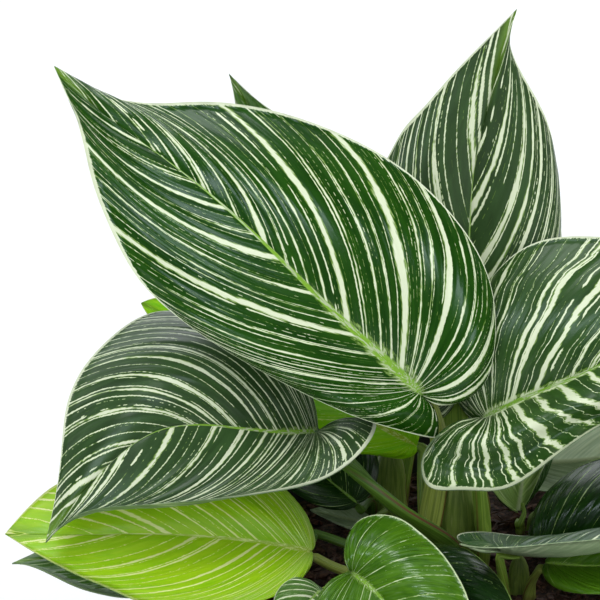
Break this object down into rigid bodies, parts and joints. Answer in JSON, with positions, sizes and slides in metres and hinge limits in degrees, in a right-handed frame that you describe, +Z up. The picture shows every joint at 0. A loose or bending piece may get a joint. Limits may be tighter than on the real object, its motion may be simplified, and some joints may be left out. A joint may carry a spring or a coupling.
{
  "type": "potted philodendron birkin",
  "caption": "Potted foliage plant with heart-shaped, pinstriped glossy leaves on channelled stalks rising from short stems in a plain round tapered nursery pot.",
  "frame": {"origin": "centre of the pot's flat underside", "axes": "+Z up out of the pot, -Y towards the side the plant is seen from, +X to its right"},
  "size_m": [0.2479, 0.2486, 0.2663],
  "materials": {
    "pot": "matte black moulded",
    "mix": "loose bark and coir",
    "stem": "satin, living",
    "stalk": "satin, living",
    "leaf_striped": "glossy dark green with cream pinstripes",
    "leaf_lime": "glossy lime green with pale flecks",
    "leaf_pale": "satin grey-green underside"
  },
  "bodies": {
    "root": {"pot": "pot", "potting_mix": "mix", "stem_main": "stem", "stem_front_left": "stem", "stem_front_right": "stem", "stem_back_right": "stem", "stem_back_left": "stem", "blade_large_front": "leaf_striped", "blade_upright_back": "leaf_striped", "blade_right_large": "leaf_striped", "blade_left_curled": "leaf_striped", "blade_pale_behind": "leaf_lime", "blade_tall_behind": "leaf_striped", "blade_lime_low": "leaf_lime", "blade_dark_low": "leaf_striped", "blade_glossy_front": "leaf_striped", "blade_dark_front": "leaf_striped", "blade_edge_on": "leaf_striped", "blade_dark_right": "leaf_striped", "blade_low_right": "leaf_striped", "blade_shaded_left": "leaf_striped", "blade_pale_underside": "leaf_pale", "blade_grey_right": "leaf_pale", "blade_small_striped": "leaf_striped", "blade_small_grey": "leaf_pale", "blade_rear_left": "leaf_striped", "blade_rear": "leaf_striped", "stalk_large_front": "stalk", "stalk_upright_back": "stalk", "stalk_right_large": "stalk", "stalk_left_curled": "stalk", "stalk_pale_behind": "stalk", "stalk_tall_behind": "stalk", "stalk_lime_low": "stalk", "stalk_dark_low": "stalk", "stalk_glossy_front": "stalk", "stalk_dark_front": "stalk", "stalk_small_striped": "stalk", "stalk_edge_on": "stalk", "stalk_low_right": "stalk", "stalk_dark_right": "stalk", "stalk_pale_underside": "stalk", "stalk_grey_right": "stalk", "stalk_rear": "stalk", "stalk_shaded_left": "stalk", "stalk_small_grey": "stalk", "stalk_rear_left": "stalk"}
  },
  "joints": []
}
